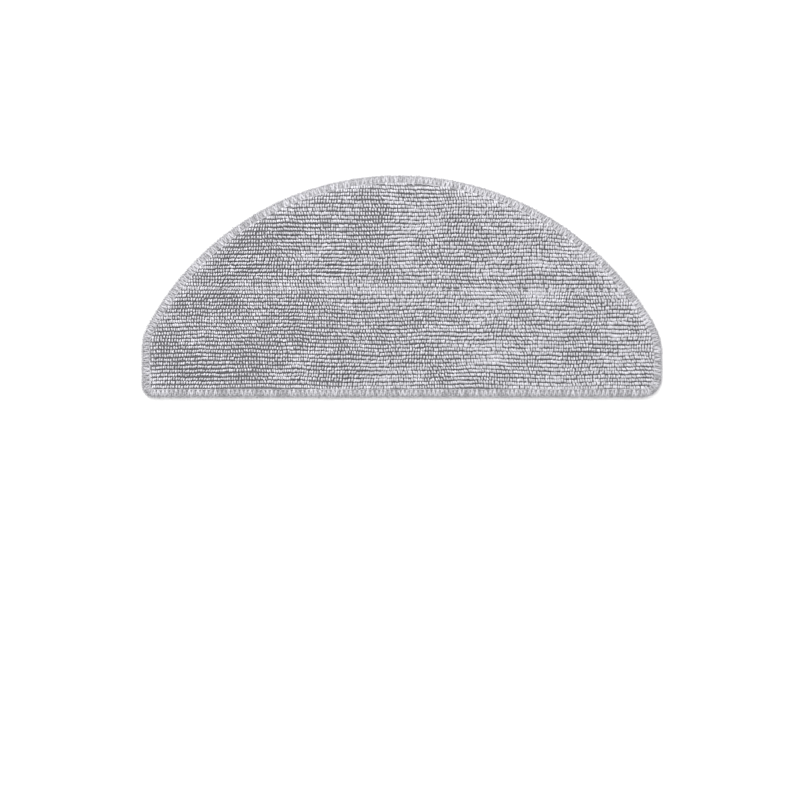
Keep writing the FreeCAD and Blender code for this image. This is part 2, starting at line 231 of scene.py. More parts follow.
def outline_runs():
    """The outline's lines and arcs, counter-clockwise from the flat edge.

    Each is a length and a function that gives the point and the outward direction part of the way along.
    """
    right = outline_half(1, "right")
    left = outline_half(-1, "left")
    half_width = PAD_WIDTH / 2
    bottom = -PAD_DEPTH / 2

    def line(start, end):
        start, end = Vector(start), Vector(end)
        way = (end - start).normalized()
        normal = Vector((way.y, -way.x))
        return (end - start).length, lambda t: (start.lerp(end, t), normal)

    def arc(centre, radius, start, end):
        centre = Vector(centre)

        def at(t):
            angle = start + (end - start) * t
            normal = Vector((math.cos(angle), math.sin(angle)))
            return centre + radius * normal, normal

        return radius * (end - start), at

    quarter = math.pi / 2
    return [
        line((left["corner"] - half_width, bottom), (half_width - right["corner"], bottom)),
        arc((half_width - right["corner"], bottom + right["corner"]), right["corner"], -quarter, 0),
        line((half_width, bottom + right["corner"]), (half_width, right["y"])),
        arc((right["x"], right["y"]), right["shoulder"], 0, right["angle"]),
        arc((APEX_SHIFT, PAD_DEPTH / 2 - right["full"]), right["full"], right["angle"], quarter),
        arc((APEX_SHIFT, PAD_DEPTH / 2 - left["full"]), left["full"], quarter, left["angle"]),
        arc((left["x"], left["y"]), left["shoulder"], left["angle"], math.pi),
        line((-half_width, left["y"]), (-half_width, bottom + left["corner"])),
        arc((left["corner"] - half_width, bottom + left["corner"]), left["corner"], math.pi, 3 * quarter),
    ]


RUNS = outline_runs()
OUTLINE_LENGTH = sum(length for length, _ in RUNS)


def outline(inset, count):
    """Evenly spaced points on the outline, moved inwards."""
    points = []
    for step in range(count):
        along = OUTLINE_LENGTH * step / count
        for length, at in RUNS:
            if along <= length:
                break
            along -= length
        point, normal = at(along / length)
        points.append(point - normal * inset)
    return points


OUTLINE_POINTS = np.array([tuple(p) for p in outline(0.0, 1400)])


def rim_distance(points):
    """How far each point is from the pad's outline."""
    found = np.empty(len(points))
    for first in range(0, len(points), 500):
        gaps = points[first:first + 500, None, :] - OUTLINE_POINTS[None, :, :]
        found[first:first + 500] = np.sqrt((gaps ** 2).sum(axis=2)).min(axis=1)
    return found


def inside(points):
    """Which points lie within the pad's outline."""
    found = np.zeros(len(points), dtype=bool)
    for (x_0, y_0), (x_1, y_1) in zip(OUTLINE_POINTS, np.roll(OUTLINE_POINTS, -1, axis=0)):
        if y_0 != y_1:
            crossed = (y_0 > points[:, 1]) != (y_1 > points[:, 1])
            found ^= crossed & (points[:, 0] < x_0 + (points[:, 1] - y_0) * (x_1 - x_0) / (y_1 - y_0))
    return found


def smooth(value, low, high):
    """Rises smoothly from 0 at low to 1 at high."""
    t = np.clip((value - low) / (high - low), 0, 1)
    return t * t * (3 - 2 * t)


# Meshes


def new_object(name, vertices, edges=(), faces=(), material=None):
    """A mesh object in the scene."""
    mesh = bpy.data.meshes.new(name)
    mesh.from_pydata([tuple(v) for v in vertices], list(edges), list(faces))
    if material is not None:
        mesh.materials.append(material)
    found = bpy.data.objects.new(name, mesh)
    bpy.context.scene.collection.objects.link(found)
    return found


def cloth_slab(name, inset, cell, upper, lower, material):
    """A layer of cloth cut to the outline.

    It lies between two surfaces, which are functions of the places and of their distances from the outline.
    """
    rim = outline(inset, round((OUTLINE_LENGTH - 2 * math.pi * inset) / cell * 1.6))
    loop = [(i, (i + 1) % len(rim)) for i in range(len(rim))]
    xs = np.arange(-PAD_WIDTH / 2, PAD_WIDTH / 2, cell)
    ys = np.arange(-PAD_DEPTH / 2, PAD_DEPTH / 2, cell)
    lattice = np.array([(x + (row % 2) * cell / 2, y) for row, y in enumerate(ys) for x in xs])
    inner = inside(lattice) & (rim_distance(lattice) > inset + cell * 0.6)
    points = list(rim) + [Vector(p) for p in lattice[inner]]
    flat, _, faces, *_ = delaunay_2d_cdt(points, loop, [], 1, 1e-7)
    places = np.array([tuple(p) for p in flat])
    distance = rim_distance(places)
    tops = upper(places, distance)
    bottoms = lower(places, distance)
    count = len(places)
    vertices = [(x, y, z) for levels in (tops, bottoms) for (x, y), z in zip(places, levels)]
    turned = []
    for face in faces:
        a, b, c = (Vector((*places[i], 0)) for i in face)
        turned.append(tuple(face) if (b - a).cross(c - a).z > 0 else tuple(reversed(face)))
    sides = [side for face in turned for side in zip(face, face[1:] + face[:1])]
    known = set(sides)
    walls = [(end, start, start + count, end + count) for start, end in sides if (end, start) not in known]
    under = [tuple(i + count for i in reversed(face)) for face in turned]
    slab = new_object(name, vertices, (), turned + under + walls, material)
    attribute = slab.data.attributes.new("rim", "FLOAT", "POINT")
    attribute.data.foreach_set("value", np.concatenate([distance, distance]))
    for polygon in slab.data.polygons:
        polygon.use_smooth = polygon.index < 2 * len(turned)
    return slab


def ripple(points, size, depth, seed):
    """Gentle unevenness of a cloth lying flat."""
    rng = np.random.default_rng(seed)
    total = np.zeros(len(points))
    for _ in range(6):
        angle = rng.uniform(0, math.pi)
        way = np.array([math.cos(angle), math.sin(angle)]) * rng.uniform(0.7, 1.4)
        total += np.sin(points @ way * 2 * math.pi / size + rng.uniform(0, 6.28))
    return total * depth / 6


# Geometry node trees


def new_tree(name, inputs):
    """A tree with a geometry input, named inputs and a geometry output. Returns its graph and input values."""
    tree = bpy.data.node_groups.new(name, "GeometryNodeTree")
    tree.interface.new_socket("Geometry", in_out="OUTPUT", socket_type="NodeSocketGeometry")
    tree.interface.new_socket("Geometry", in_out="INPUT", socket_type="NodeSocketGeometry")
    for label, kind in inputs.items():
        tree.interface.new_socket(label, in_out="INPUT", socket_type="NodeSocket" + kind)
    graph = Graph(tree)
    start = graph.add("NodeGroupInput")
    return graph, {label: start.out(label) for label in ("Geometry", *inputs)}


def end_tree(graph, geometry):
    """Ends a tree in Realize Instances, smooth faces and Set Material."""
    material = graph.tree.interface.new_socket("Material", in_out="INPUT", socket_type="NodeSocketMaterial")
    start = next(node for node in graph.tree.nodes if node.bl_idname == "NodeGroupInput")
    plain = graph.add("GeometryNodeRealizeInstances", None, {"Geometry": geometry})
    plain = graph.add("GeometryNodeSetShadeSmooth", None, {"Geometry": plain})
    given = Value(graph, start.outputs[material.name])
    painted = graph.add("GeometryNodeSetMaterial", None, {"Geometry": plain, "Material": given})
    graph.add("NodeGroupOutput", None, {"Geometry": painted})
    return graph.tree


def grow(name, source, tree, values):
    """Runs a tree on a copy of an object's mesh and returns the result as a plain mesh object."""
    carrier = bpy.data.objects.new(name + "_source", source.data.copy())
    bpy.context.scene.collection.objects.link(carrier)
    modifier = carrier.modifiers.new("grow", "NODES")
    modifier.node_group = tree
    sockets = {
        item.name: item.identifier
        for item in tree.interface.items_tree
        if item.item_type == "SOCKET" and item.in_out == "INPUT"
    }
    for label, value in values.items():
        modifier[sockets[label]] = value
    carrier.update_tag()
    depsgraph = bpy.context.evaluated_depsgraph_get()
    depsgraph.update()
    mesh = bpy.data.meshes.new_from_object(carrier.evaluated_get(depsgraph))
    mesh.name = name
    mesh.materials.clear()
    mesh.materials.append(values["Material"])
    mesh.polygons.foreach_set("material_index", np.zeros(len(mesh.polygons), dtype=np.int32))
    made = bpy.data.objects.new(name, mesh)
    bpy.context.scene.collection.objects.link(made)
    bpy.data.objects.remove(carrier)
    return made


def yarn(graph, curve, width, sides, thickness=1.0):
    """Sweeps a round yarn along a curve, closed at its ends."""
    ring = graph.add("GeometryNodeCurvePrimitiveCircle", {"mode": "RADIUS"}, {
        "Resolution": sides,
        "Radius": 0.5,
    })
    ring = graph.add("GeometryNodeTransform", None, {
        "Geometry": ring,
        "Scale": graph.vector(width, width, 1.0),
    })
    curve = graph.add("GeometryNodeSetCurveRadius", None, {"Curve": curve, "Radius": thickness})
    return graph.add("GeometryNodeCurveToMesh", None, {
        "Curve": curve,
        "Profile Curve": ring,
        "Fill Caps": True,
    })


def keep_number(graph, geometry, name, value, domain="POINT"):
    """Stores a number on a geometry under a name."""
    return graph.add(
        "GeometryNodeStoreNamedAttribute",
        {"data_type": "FLOAT", "domain": domain},
        {"Geometry": geometry, "Name": name, "Value": value},
    )


def loop_rows_tree():
    """Rows of yarn loops that stand on a cloth, pressed flat along the seam and next to the border."""
    graph, given = new_tree("loop_rows", {
        "Row Pitch": "Float",
        "Loop Pitch": "Float",
        "Loop Height": "Float",
        "Yarn Width": "Float",
        "Rows": "Int",
        "Loops": "Int",
        "First Row": "Float",
        "Border": "Float",
        "Seam": "Float",
        "Seam Slope": "Float",
        "First Hole": "Float",
        "Hole Pitch": "Float",
        "Ripple": "Float",
        "Seed": "Int",
    })
    pitch, gap, seed = given["Row Pitch"], given["Loop Pitch"], given["Seed"]
    grid = graph.add("GeometryNodeMeshGrid", None, {
        "Size X": gap * (given["Loops"] - 1),
        "Size Y": pitch * (given["Rows"] - 1),
        "Vertices X": given["Loops"],
        "Vertices Y": given["Rows"],
    }, "Mesh")
    points = graph.add("GeometryNodeMeshToPoints", {"mode": "VERTICES"}, {"Mesh": grid})
    x, y, _ = graph.split(graph.add("GeometryNodeInputPosition"))
    row = graph.math("ROUND", (y + pitch * (given["Rows"] - 1) * 0.5) / pitch)
    level = given["First Row"] + row * pitch

    # Sideways, in loop widths: a slow wander, the slip of each whole row and each loop's own
    wander = graph.noise(graph.vector(x * 30.0, level * 60.0, 0.0), detail=1.0, flat=True) - 0.5
    row_slip = graph.jitter(0.14, seed, row) * (1.0 + graph.step(x, -0.06, 0.04) * 2.5)
    across = x + gap * (wander * 4.5 + row_slip + graph.jitter(0.13, seed + 1))

    def wave(scale, offset):
        """Slow unevenness over the pad, around 0. The offset picks another pattern."""
        return graph.noise(graph.vector(across * scale, level * scale, offset), detail=0.0) - 0.5

    # Up and down: rows drift together and apart, and run straight beside the seam
    row_drift = graph.noise(graph.vector(across * 60.0, level * 3700.0, 0.0), detail=1.0, flat=True) - 0.5
    drift = wave(17.0, 3.0) * 2.0 + wave(50.0, 7.0) * 0.6 + wave(130.0, 9.0) * 0.3 + row_drift * 0.42
    free = graph.step(graph.math("ABSOLUTE", level - given["Seam"]), pitch * 0.3, pitch * 4.0)
    slope = given["Seam Slope"] * across
    up = level + free * given["Ripple"] * drift + (1.0 - free) * slope + gap * graph.jitter(0.1, seed + 2)
    seam = given["Seam"] + slope
    hit = graph.add("GeometryNodeRaycast", {"data_type": "FLOAT"}, {
        "Target Geometry": given["Geometry"],
        "Attribute": graph.stored("rim"),
        "Source Position": graph.vector(across, up, 1.0),
        "Ray Direction": (0.0, 0.0, -1.0),
        "Ray Length": 2.0,
    }, "Is Hit")
    rim = hit.out("Attribute") - given["Border"]
    _, _, floor = graph.split(hit.out("Hit Position"))
    points = keep_number(graph, points, "rim_gap", rim)
    points = keep_number(graph, points, "seam_gap", up - seam)

    # The stitch holes that show, more of them towards the right
    hole = (across - given["First Hole"]) / given["Hole Pitch"] + 0.5
    number = graph.math("FLOOR", hole)
    hole = graph.math("ABSOLUTE", graph.math("FRACT", hole) - 0.5) * given["Hole Pitch"]
    share = graph.step(across, -0.04, 0.03) * 0.5 + 0.12
    shown = graph.math("LESS_THAN", graph.spread(0.0, 1.0, seed, number), share)
    points = keep_number(graph, points, "hole_gap", hole + (1.0 - shown))
    points = graph.add("GeometryNodeSetPosition", None, {
        "Geometry": points,
        "Position": graph.vector(across, up, floor),
    })

    # Loops stand inside the border and outside the openings
    rim, away = graph.stored("rim_gap"), graph.stored("seam_gap")
    edge = rim + graph.spread(0.1 * MM, 0.7 * MM, seed + 3)
    far = graph.math("ABSOLUTE", away)
    half_length, half_width = OPENING
    near_hole = graph.math("LESS_THAN", graph.stored("hole_gap"), half_length)
    by_hole = near_hole * graph.math("LESS_THAN", far, half_width)
    outside = graph.math("MAXIMUM", graph.math("LESS_THAN", edge, 0.0), by_hole)
    points = graph.add("GeometryNodeDeleteGeometry", {"domain": "POINT"}, {
        "Geometry": points,
        "Selection": outside,
    })

    # How each loop stands: its height, its turns and how full its yarn is
    by_seam = 1.0 - graph.step(far, *SEAM_PRESS)
    by_rim = 1.0 - graph.step(rim, *RIM_PRESS)
    height = (1.0 - by_seam * 0.6) * (1.0 - by_rim * 0.5) * graph.spread(0.88, 1.1, seed + 4)
    side = graph.math("SIGN", away)
    lean = graph.jitter(0.14, seed + 5) + wave(45.0, 11.0) * 0.6 - by_seam * side * 0.3
    tilt = graph.jitter(0.08, seed + 6) + wave(35.0, 15.0) * 0.5
    twist = graph.jitter(0.2, seed + 7) + wave(40.0, 19.0) * 2.4
    patch = graph.noise(graph.vector(across * 28.0, level * 75.0, 27.0))
    fullness = (patch - 0.5) * 0.95 + (graph.step(across, -0.12, 0.06) - 0.42) * 0.3

    loop = graph.add("GeometryNodeCurveArc", {"mode": "RADIUS"}, {
        "Resolution": 5,
        "Radius": 0.5,
        "Start Angle": 0.0,
        "Sweep Angle": math.pi,
    })
    loop = graph.add("GeometryNodeTransform", None, {
        "Geometry": loop,
        "Scale": graph.vector(pitch * 0.42, given["Loop Height"] * 1.7, 1.0),
        "Rotation": (math.pi / 2, 0.0, math.pi / 2),
    })
    # Height along the loop, kept as tip; the yarn's material paints shade at the loop's base from it.
    _, _, rise = graph.split(graph.add("GeometryNodeInputPosition"))
    tip = rise / (given["Loop Height"] * 0.85)
    loop = keep_number(graph, loop, "tip", tip)
    loop = yarn(graph, loop, given["Yarn Width"], 5, 0.56 + tip * 0.44)
    loops = graph.add("GeometryNodeInstanceOnPoints", None, {
        "Points": points,
        "Instance": loop,
        "Rotation": graph.vector(lean, tilt, twist),
        "Scale": graph.vector(
            graph.spread(0.96, 1.24, seed + 8) + fullness * 0.55,
            (1.0 + by_seam * 0.45 + fullness * 0.5) * graph.spread(0.95, 1.22, seed + 9),
            height,
        ),
    })
    loops = keep_number(graph, loops, "shade", graph.spread(0.0, 1.0, seed + 10), "INSTANCE")
    loops = keep_number(graph, loops, "pressed", graph.math("MAXIMUM", by_seam, by_rim * 0.7), "INSTANCE")
    loops = keep_number(graph, loops, "fullness", fullness, "INSTANCE")
    return end_tree(graph, loops)


def looper_tree():
    """A thread round an outline that crosses the border out to the rim and back once for each stitch."""
    graph, given = new_tree("looper", {
        "Stitches": "Int",
        "Border": "Float",
        "Rim": "Float",
        "Level At Rim": "Float",
        "Level At Crest": "Float",
        "Yarn Width": "Float",
        "Pairing": "Float",
        "Phase": "Float",
        "Seed": "Int",
    })
    curve = graph.add("GeometryNodeMeshToCurve", None, {"Mesh": given["Geometry"]})
    curve = graph.add("GeometryNodeResampleCurve", {"mode": "COUNT"}, {
        "Curve": curve,
        "Count": given["Stitches"] * LOOPER_STEPS,
    })
    index = graph.add("GeometryNodeInputIndex")
    way = index / LOOPER_STEPS + given["Phase"]
    turn = way * (2 * math.pi)
    out = graph.step(0.5 - graph.math("COSINE", turn) * 0.5, 0.03, 0.97)
    leg = graph.math("FLOOR", index / (LOOPER_STEPS / 2) + given["Phase"] * 2.0)
    stitch = graph.math("FLOOR", way)
    reach = graph.jitter(0.35 * MM, given["Seed"], stitch)
    inset = given["Border"] + reach - (given["Border"] + reach - given["Rim"]) * out
    profile = graph.add("ShaderNodeFloatCurve", {
        "points": [(0.0, 0.7), (0.12, 0.95), (0.28, 1.0), (0.6, 0.86), (0.85, 0.5), (1.0, 0.0)],
    }, {"Value": out})
    lift = graph.spread(-0.06 * MM, 0.08 * MM, given["Seed"] + 1, leg)
    level = given["Level At Rim"] + (given["Level At Crest"] - given["Level At Rim"]) * profile + lift
    tangent_x, tangent_y, _ = graph.split(graph.add("GeometryNodeInputTangent"))
    slip = graph.jitter(0.16 * MM, given["Seed"] + 2, leg)
    slip = slip + given["Pairing"] * graph.math("SINE", turn) * (out - 1.0)
    offset = graph.vector(tangent_x * slip - tangent_y * inset, tangent_y * slip + tangent_x * inset, level)
    curve = graph.add("GeometryNodeSetPosition", None, {"Geometry": curve, "Offset": offset})
    curve = keep_number(graph, curve, "shade", graph.spread(0.0, 1.0, given["Seed"] + 3, leg))
    # How high the thread lies across the border; its material paints shade where this is low.
    curve = keep_number(graph, curve, "tip", profile)
    swell = graph.spread(0.88, 1.14, given["Seed"] + 4, leg)
    return end_tree(graph, yarn(graph, curve, given["Yarn Width"], 6, swell))


def running_stitch_tree():
    """A thread that lies on a cloth along a line and dips into it between stitches."""
    graph, given = new_tree("running_stitch", {
        "Points": "Int",
        "Level On Cloth": "Float",
        "Level In Hole": "Float",
        "Yarn Width": "Float",
        "Inset": "Float",
        "Seed": "Int",
    })
    curve = graph.add("GeometryNodeMeshToCurve", None, {"Mesh": given["Geometry"]})
    curve = graph.add("GeometryNodeResampleCurve", {"mode": "COUNT"}, {
        "Curve": curve,
        "Count": given["Points"],
    })
    index = graph.add("GeometryNodeInputIndex")
    along = index / STITCH_STEPS
    dip = graph.math("ABSOLUTE", graph.math("COSINE", along * math.pi)) ** 7.0
    level = given["Level On Cloth"] + (given["Level In Hole"] - given["Level On Cloth"]) * dip
    tangent_x, tangent_y, _ = graph.split(graph.add("GeometryNodeInputTangent"))
    stitch = graph.math("FLOOR", along)
    aside = given["Inset"] + graph.jitter(0.12 * MM, given["Seed"], stitch) * (1.0 - dip)
    curve = graph.add("GeometryNodeSetPosition", None, {
        "Geometry": curve,
        "Offset": graph.vector(tangent_y * aside * -1.0, tangent_x * aside, level),
    })
    curve = keep_number(graph, curve, "shade", graph.spread(0.0, 1.0, given["Seed"] + 1, stitch))
    # 1 on the cloth and 0 in a hole; the thread material paints shade from it.
    curve = keep_number(graph, curve, "tip", 1.0 - dip)
    swell = graph.spread(0.92, 1.1, given["Seed"] + 2, stitch) * (1.0 - dip * 0.2)
    return end_tree(graph, yarn(graph, curve, given["Yarn Width"], 6, swell))


def edge_fuzz_tree():
    """Fine loose fibres that stand out from a rim."""
    graph, given = new_tree("edge_fuzz", {
        "Fibres": "Int",
        "Length": "Float",
        "Thickness": "Float",
        "Inset": "Float",
        "Lowest": "Float",
        "Highest": "Float",
        "Seed": "Int",
    })
    length, seed = given["Length"], given["Seed"]
    curve = graph.add("GeometryNodeMeshToCurve", None, {"Mesh": given["Geometry"]})
    curve = graph.add("GeometryNodeResampleCurve", {"mode": "COUNT"}, {
        "Curve": curve,
        "Count": given["Fibres"],
    })
    tangent_x, tangent_y, _ = graph.split(graph.add("GeometryNodeInputTangent"))
    curve = keep_number(graph, curve, "heading", graph.math("ARCTAN2", tangent_y, tangent_x))
    inset = given["Inset"] * graph.spread(0.3, 1.7, seed)
    level = graph.spread(given["Lowest"], given["Highest"], seed + 1)
    curve = graph.add("GeometryNodeSetPosition", None, {
        "Geometry": curve,
        "Offset": graph.vector(tangent_y * inset * -1.0, tangent_x * inset, level),
    })
    points = graph.add("GeometryNodeCurveToPoints", {"mode": "EVALUATED"}, {"Curve": curve}, "Points")
    fibre = graph.add("GeometryNodeCurveQuadraticBezier", None, {
        "Resolution": 3,
        "Start": (0.0, 0.0, 0.0),
        "Middle": graph.vector(length * 0.55, length * 0.3, length * 0.12),
        "End": graph.vector(length, length * -0.1, 0.0),
    })
    fibre = keep_number(graph, fibre, "tip", 1.0)
    fibre = yarn(graph, fibre, given["Thickness"], 3)
    turn = graph.stored("heading") - math.pi / 2 + graph.jitter(1.1, seed + 2)
    size = graph.spread(0.45, 1.0, seed + 4)
    fibres = graph.add("GeometryNodeInstanceOnPoints", None, {
        "Points": points,
        "Instance": fibre,
        "Rotation": graph.vector(graph.spread(0.0, 6.28, seed + 5), graph.jitter(0.5, seed + 3), turn),
        "Scale": graph.vector(size, size, 1.0),
    })
    fibres = keep_number(graph, fibres, "shade", graph.spread(0.3, 1.0, seed + 6), "INSTANCE")
    return end_tree(graph, fibres)


# Materials


def new_material(name):
    """An empty surface material: its graph and a function that ends it in a Principled shader."""
    material = bpy.data.materials.new(name)
    material.use_nodes = True
    material.node_tree.nodes.clear()
    graph = Graph(material.node_tree)

    def finish(**sockets):
        shader = graph.add("ShaderNodeBsdfPrincipled", None, {
            label.replace("_", " ").title().replace("Ior", "IOR"): value for label, value in sockets.items()
        })
        graph.add("ShaderNodeOutputMaterial", None, {"Surface": shader})
        return material

    return graph, finish


def own_number(graph, name):
    """A number that a mesh carries under a name, read in a shader."""
    settings = {"attribute_type": "GEOMETRY", "attribute_name": name}
    return graph.add("ShaderNodeAttribute", settings, None, "Fac")


def object_place(graph):
    """The place on the pad."""
    return graph.add("ShaderNodeTexCoord", None, None, "Object")


def mixed(graph, factor, first, second):
    """A colour between two others."""
    return graph.add("ShaderNodeMix", {"data_type": "RGBA"}, {
        "Factor": factor,
        "A": first,
        "B": second,
    }, "Result")


def tint(level):
    """A grey with the cloth's slight blue."""
    return (level, level * 0.99, level * 1.045, 1.0)


def bumps(graph, height, strength, distance):
    """A surface raised by a height."""
    sockets = {"Strength": strength, "Distance": distance, "Height": height}
    return graph.add("ShaderNodeBump", None, sockets, "Normal")


def loop_yarn_material():
    """Microfibre yarn with painted shade that makes it darker at a loop's base than at its top, less so on
    pressed loops.
    """
    graph, finish = new_material("loop_yarn")
    place = object_place(graph)
    names = ("tip", "shade", "pressed", "fullness")
    tip, shade, pressed, fullness = (own_number(graph, name) for name in names)
    x, y, z = graph.split(place)
    fibre = graph.noise(graph.vector(x * 9000.0, y * 2200.0, z * 2200.0), 1.0, 3.0, 0.6)
    patch = graph.noise(place, 40.0)
    # The first colour is painted shade for the shaded bases of the loops; the others are the yarn's own tones.
    painted_foot_shade, dull, crowded, bright = tint(0.3), tint(0.6), tint(0.62), tint(1.0)
    # Runs from the painted shade at a loop's base to the yarn's own tone near its top; pressed loops get less
    # painted shade.
    level = graph.step(tip, 0.08, 0.9) + pressed * 0.25
    light = mixed(graph, (shade ** 1.5) * 0.8 + patch * 0.3, dull, bright)
    light = mixed(graph, graph.step(fullness, -0.1, 0.3) * 0.35, light, crowded)
    colour = mixed(graph, graph.math("MINIMUM", level, 1.0), painted_foot_shade, light)
    colour = mixed(graph, fibre * 0.2, colour, tint(0.55))
    return finish(
        base_color=colour,
        roughness=0.92,
        sheen_weight=0.12,
        sheen_roughness=0.6,
        specular_ior_level=0.2,
        normal=bumps(graph, fibre, 0.7, 0.18 * MM),
    )


def ground_knit_material():
    """Knitted ground between the rows of loops, its dark grey painted shade between the loops; it is lighter
    under the edge thread, with less painted shade.
    """
    graph, finish = new_material("ground_knit")
    place = object_place(graph)
    x, y, _ = graph.split(place)
    column, row = GROUND_KNIT
    course = graph.math("SINE", y * (2 * math.pi / row))
    wale = graph.math("SINE", x * (2 * math.pi / column))
    height = course * 0.5 + wale * 0.5 + graph.noise(place, 900.0) * 0.8
    # Painted shade: the ground's dark grey stands in for the shade that falls between the rows of loops.
    colour = mixed(graph, graph.noise(place, 500.0), tint(0.19), tint(0.33))
    # Under the edge thread the ground is lighter, with less painted shade.
    by_rim = 1.0 - graph.step(own_number(graph, "rim"), 4.0 * MM, 4.6 * MM)
    colour = mixed(graph, by_rim, colour, tint(0.5))
    return finish(
        base_color=colour, roughness=0.95, specular_ior_level=0.15, normal=bumps(graph, height, 0.6, 0.2 * MM)
    )


def backing_knit_material():
    """Ribbed knit with a brushed nap."""
    graph, finish = new_material("backing_knit")
    place = object_place(graph)
    x, y, _ = graph.split(place)
    column, row = BACKING_KNIT
    rib = graph.math("ABSOLUTE", graph.math("SINE", x * (math.pi / column)))
    link = graph.math("ABSOLUTE", graph.math("SINE", y * (math.pi / row) + rib * 1.4))
    nap = graph.noise(place, 1400.0, 4.0, 0.65)
    height = rib * 0.6 + link * 0.4 + nap * 0.9
    colour = mixed(graph, rib * 0.35 + nap * 0.5, tint(0.36), tint(0.58))
    colour = mixed(graph, graph.noise(place, 30.0) * 0.3, colour, tint(0.46))
    return finish(
        base_color=colour,
        roughness=0.94,
        sheen_weight=0.3,
        sheen_roughness=0.55,
        specular_ior_level=0.15,
        normal=bumps(graph, height, 0.8, 0.3 * MM),
    )


def thread_material(name, dark, light):
    """Textured polyester thread, each pass a little lighter or darker than the next, with painted shade where
    the thread runs low.
    """
    graph, finish = new_material(name)
    place = object_place(graph)
    shade, tip = own_number(graph, "shade"), own_number(graph, "tip")
    fibre = graph.noise(place, 5200.0, 3.0, 0.6)
    twist = graph.noise(place, 1500.0, 1.5)
    colour = mixed(graph, shade * 0.5 + graph.step(twist, 0.3, 0.7) * 0.5, tint(dark), tint(light))
    # Painted shade: the thread is darker where it runs low, over the rim and down into the stitch holes.
    colour = mixed(graph, (1.0 - graph.step(tip, 0.0, 0.9)) * 0.3, colour, tint(dark * 0.8))
    return finish(
        base_color=colour,
        roughness=0.85,
        sheen_weight=0.3,
        sheen_roughness=0.5,
        specular_ior_level=0.25,
        normal=bumps(graph, fibre + twist, 0.7, 0.15 * MM),
    )


def seen_directly(graph):
    """1 for rays that show a surface in the picture, 0 for rays that only carry its light to others."""
    ray = graph.add("ShaderNodeLightPath", None, None, "Is Camera Ray")
    passed_on = graph.math("MAXIMUM", ray.out("Is Glossy Ray"), ray.out("Is Transmission Ray"))
    return graph.math("MAXIMUM", ray, passed_on)


def floor_material():
    """White studio floor that keeps the pad's shadow."""
    graph, _ = new_material("studio_floor")
    seen = seen_directly(graph)
    diffuse = graph.add("ShaderNodeBsdfDiffuse", None, {"Color": (0.82, 0.82, 0.82, 1.0)})
    glow = graph.add("ShaderNodeEmission", None, {"Color": WHITE, "Strength": seen * 0.25})
    both = graph.add("ShaderNodeAddShader", None, {0: diffuse, 1: glow})
    graph.add("ShaderNodeOutputMaterial", None, {"Surface": both})
    return bpy.data.materials["studio_floor"]


# The pad's pieces


def make_cloths():
    """The mopping cloth's ground and the backing cloth, each cut to the outline."""

    def face_top(places, rim):
        """A little uneven, and lower under the edge thread."""
        sunk = 0.6 * MM * (1 - smooth(rim, 0.5 * MM, 5 * MM))
        return GROUND_TOP - sunk + ripple(places, 60 * MM, 0.06 * MM, 5)

    def between(places, rim):
        return np.full(len(places), BACKING_TOP)

    def back_bottom(places, rim):
        """Drawn up at the edge and along the seam."""
        edge = 0.7 * MM * (1 - smooth(rim, 4.0 * MM, 5.4 * MM))
        return edge + 0.55 * MM * np.exp(-(((places[:, 1] - SEAM_PLACE) / (0.9 * MM)) ** 2))

    face = cloth_slab("face_ground", THREAD_COVER, 3.0 * MM, face_top, between, ground_knit_material())
    backing = cloth_slab(
        "backing_knit_cloth", THREAD_COVER, 1.6 * MM, between, back_bottom, backing_knit_material()
    )
    for piece, node, slot in (
        (face, "face_cloth", "looped_microfibre"),
        (backing, "backing_cloth", "backing_fabric"),
    ):
        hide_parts(node)
        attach(piece, "root")
    return face, backing


def cut_area():
    """Flat area of a cloth cut to the outline, less the thread's cover."""
    points = outline(THREAD_COVER, 2000)
    return abs(sum(a.cross(b) for a, b in zip(points, points[1:] + points[:1]))) / 2


def make_pile(face):
    """The mopping cloth's loops, in three bands of rows."""
    tree = loop_rows_tree()
    material = loop_yarn_material()
    bottom = BORDER_WIDTH - PAD_DEPTH / 2
    rows = math.ceil((PAD_DEPTH - 2 * BORDER_WIDTH) / ROW_PITCH)
    seam_row = round((SEAM_PLACE - bottom) / ROW_PITCH)
    bands = (("pile_by_flat_edge", 0, 15), ("pile_middle", 15, 30), ("pile_by_arc", 30, rows))
    pieces = []
    for name, first, last in bands:
        piece = grow(name, face, tree, {
            "Row Pitch": ROW_PITCH,
            "Loop Pitch": LOOP_PITCH,
            "Loop Height": PILE_HEIGHT,
            "Yarn Width": LOOP_YARN,
            "Rows": last - first,
            "Loops": round(PAD_WIDTH / LOOP_PITCH),
            "First Row": SEAM_PLACE + (first - seam_row) * ROW_PITCH,
            "Border": BORDER_WIDTH,
            "Seam": SEAM_PLACE,
            "Seam Slope": SEAM_SLOPE,
            "First Hole": SEAM_FROM,
            "Hole Pitch": SEAM_PITCH,
            "Ripple": 1.9 * MM,
            "Seed": 40 + 20 * first,
            "Material": material,
        })
        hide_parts("face_cloth")
        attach(piece, "root")
        pieces.append(piece)
    return pieces


def path_object(name, points, closed):
    """A line of edges on the floor plane, for a thread to follow."""
    last = len(points) if closed else len(points) - 1
    edges = [(i, (i + 1) % len(points)) for i in range(last)]
    return new_object(name, [(p[0], p[1], 0.0) for p in points], edges)


